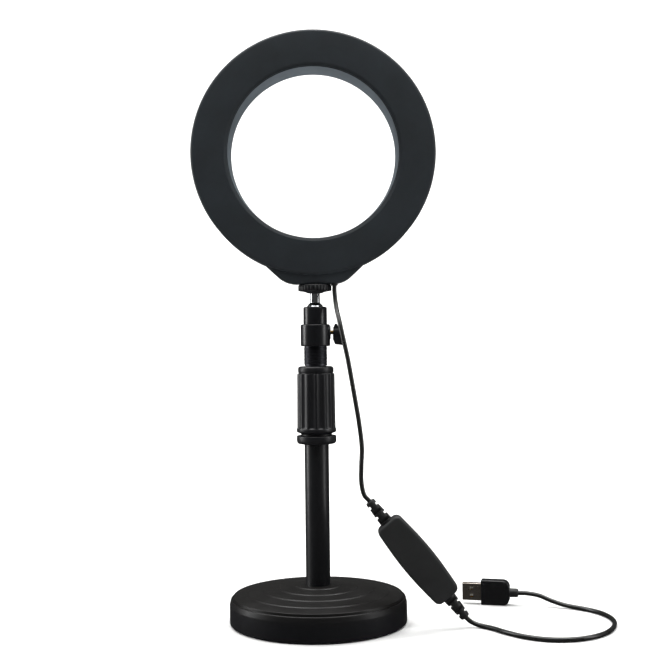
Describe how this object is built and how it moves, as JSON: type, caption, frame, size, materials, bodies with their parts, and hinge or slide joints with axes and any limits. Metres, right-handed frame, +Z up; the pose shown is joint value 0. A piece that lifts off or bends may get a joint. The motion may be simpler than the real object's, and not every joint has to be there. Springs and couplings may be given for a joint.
{
  "type": "ring light",
  "caption": "Small ring light on a round weighted stand: annular lamp on a ball head and sliding mast, with an in-line controller and USB plug on its cord.",
  "frame": {"origin": "centre of the base's underside, on the surface it stands on", "axes": "+Z up along the pole, +Y the way the lamp shines, +X towards the clamp knob"},
  "size_m": [0.2718, 0.1202, 0.387],
  "materials": {
    "base_enamel": "satin black enamel",
    "cast_iron": "rough cast",
    "rubber": "matte",
    "zinc_steel": "bright zinc plate",
    "powder_coat": "satin black",
    "grip_plastic": "satin moulded",
    "nylon": "natural nylon",
    "black_oxide": "black oxide",
    "head_alloy": "satin black",
    "brass": "turned",
    "chrome": "polished",
    "shell_plastic": "fine matte texture",
    "opal": "translucent opal",
    "board_white": "white solder mask",
    "led_phosphor": "clear resin over phosphor",
    "cord_pvc": "glossy soft PVC",
    "case_plastic": "matte moulded",
    "board_green": "green solder mask",
    "button_plastic": "satin moulded",
    "relief_rubber": "satin",
    "plug_plastic": "glossy moulded",
    "usb_nickel": "satin nickel",
    "tongue_plastic": "moulded",
    "contact_gold": "gold flash"
  },
  "bodies": {
    "stand": {"base_cover": "base_enamel", "base_weight": "cast_iron", "base_pad": "rubber", "base_bolt": "zinc_steel", "base_washer": "zinc_steel", "pole_plug": "zinc_steel", "lower_tube": "powder_coat", "clutch_seat": "grip_plastic", "collet": "nylon"},
    "clutch": {"clutch_grip": "grip_plastic"},
    "mast": {"upper_tube": "powder_coat", "tube_bush": "nylon", "mic_thread_tip": "black_oxide", "clamp_collar": "head_alloy", "ball_housing": "head_alloy"},
    "brake": {"brake_pad": "brass"},
    "knob": {"clamp_screw": "brass", "clamp_knob": "grip_plastic"},
    "swivel": {"swivel_seat": "nylon", "controller_back_shell": "case_plastic", "controller_front_shell": "case_plastic", "controller_board": "board_green", "tact_switches": "zinc_steel", "upper_relief": "relief_rubber", "lower_relief": "relief_rubber", "cord_lower": "cord_pvc"},
    "head": {"ball_stem": "chrome", "back_shell": "shell_plastic", "front_bezel": "shell_plastic", "diffuser": "opal", "led_board": "board_white", "leds": "led_phosphor", "board_screws": "zinc_steel", "thread_insert": "brass", "cable_gland": "cord_pvc", "inner_lead": "cord_pvc", "cord_upper": "cord_pvc"},
    "lock": {"lock_disc": "grip_plastic"},
    "plug": {"usb_body": "plug_plastic", "usb_shell": "usb_nickel", "usb_tongue": "tongue_plastic", "usb_contacts": "contact_gold", "plug_relief": "relief_rubber"},
    "power_key": {"power_button": "button_plastic"},
    "colour_key": {"colour_button": "button_plastic"},
    "brighter_key": {"brighter_button": "button_plastic"},
    "dimmer_key": {"dimmer_button": "button_plastic"}
  },
  "joints": [
    {"name": "clutch_twist", "type": "hinge", "parent": "stand", "child": "clutch", "pos_m": [0, 0, 0.145], "axis": [0, 0, 1], "range_deg": [0, 120]},
    {"name": "mast_extend", "type": "slide", "parent": "stand", "child": "mast", "axis": [0, 0, 1], "range_m": [0, 0.08]},
    {"name": "clamp_feed", "type": "slide", "parent": "mast", "child": "brake", "axis": [1, 0, 0], "range_m": [0, 0.0008]},
    {"name": "clamp_turn", "type": "hinge", "parent": "brake", "child": "knob", "pos_m": [0.012, 0, 0.1896], "axis": [1, 0, 0], "range_deg": [0, 361]},
    {"name": "pan", "type": "hinge", "parent": "mast", "child": "swivel", "pos_m": [0, 0, 0.204], "axis": [0, 0, 1], "continuous": true},
    {"name": "tilt", "type": "hinge", "parent": "swivel", "child": "head", "pos_m": [0, 0, 0.204], "axis": [1, 0, 0], "range_deg": [-30, 30], "deforming": ["cord_upper"]},
    {"name": "lock_turn", "type": "hinge", "parent": "head", "child": "lock", "pos_m": [0, 0, 0.218], "axis": [0, 0, 1], "range_deg": [-90, 0]},
    {"name": "plug_follow", "type": "slide", "parent": "swivel", "child": "plug", "axis": [0, 0, 1], "range_m": [-0.08, 0], "deforming": ["cord_lower"]},
    {"name": "power_press", "type": "slide", "parent": "swivel", "child": "power_key", "axis": [0, -1, 0], "range_m": [0, 0.0005], "stiffness_N_per_m": 600, "springref_m": -0.0005},
    {"name": "colour_press", "type": "slide", "parent": "swivel", "child": "colour_key", "axis": [0, -1, 0], "range_m": [0, 0.0005], "stiffness_N_per_m": 600, "springref_m": -0.0005},
    {"name": "brighter_press", "type": "slide", "parent": "swivel", "child": "brighter_key", "axis": [0, -1, 0], "range_m": [0, 0.0005], "stiffness_N_per_m": 600, "springref_m": -0.0005},
    {"name": "dimmer_press", "type": "slide", "parent": "swivel", "child": "dimmer_key", "axis": [0, -1, 0], "range_m": [0, 0.0005], "stiffness_N_per_m": 600, "springref_m": -0.0005}
  ],
  "couplings": [
    {"joint": "clamp_turn", "follows": "clamp_feed", "rad_per_m": 7854},
    {"joint": "plug_follow", "follows": "mast_extend", "ratio": -1}
  ]
}
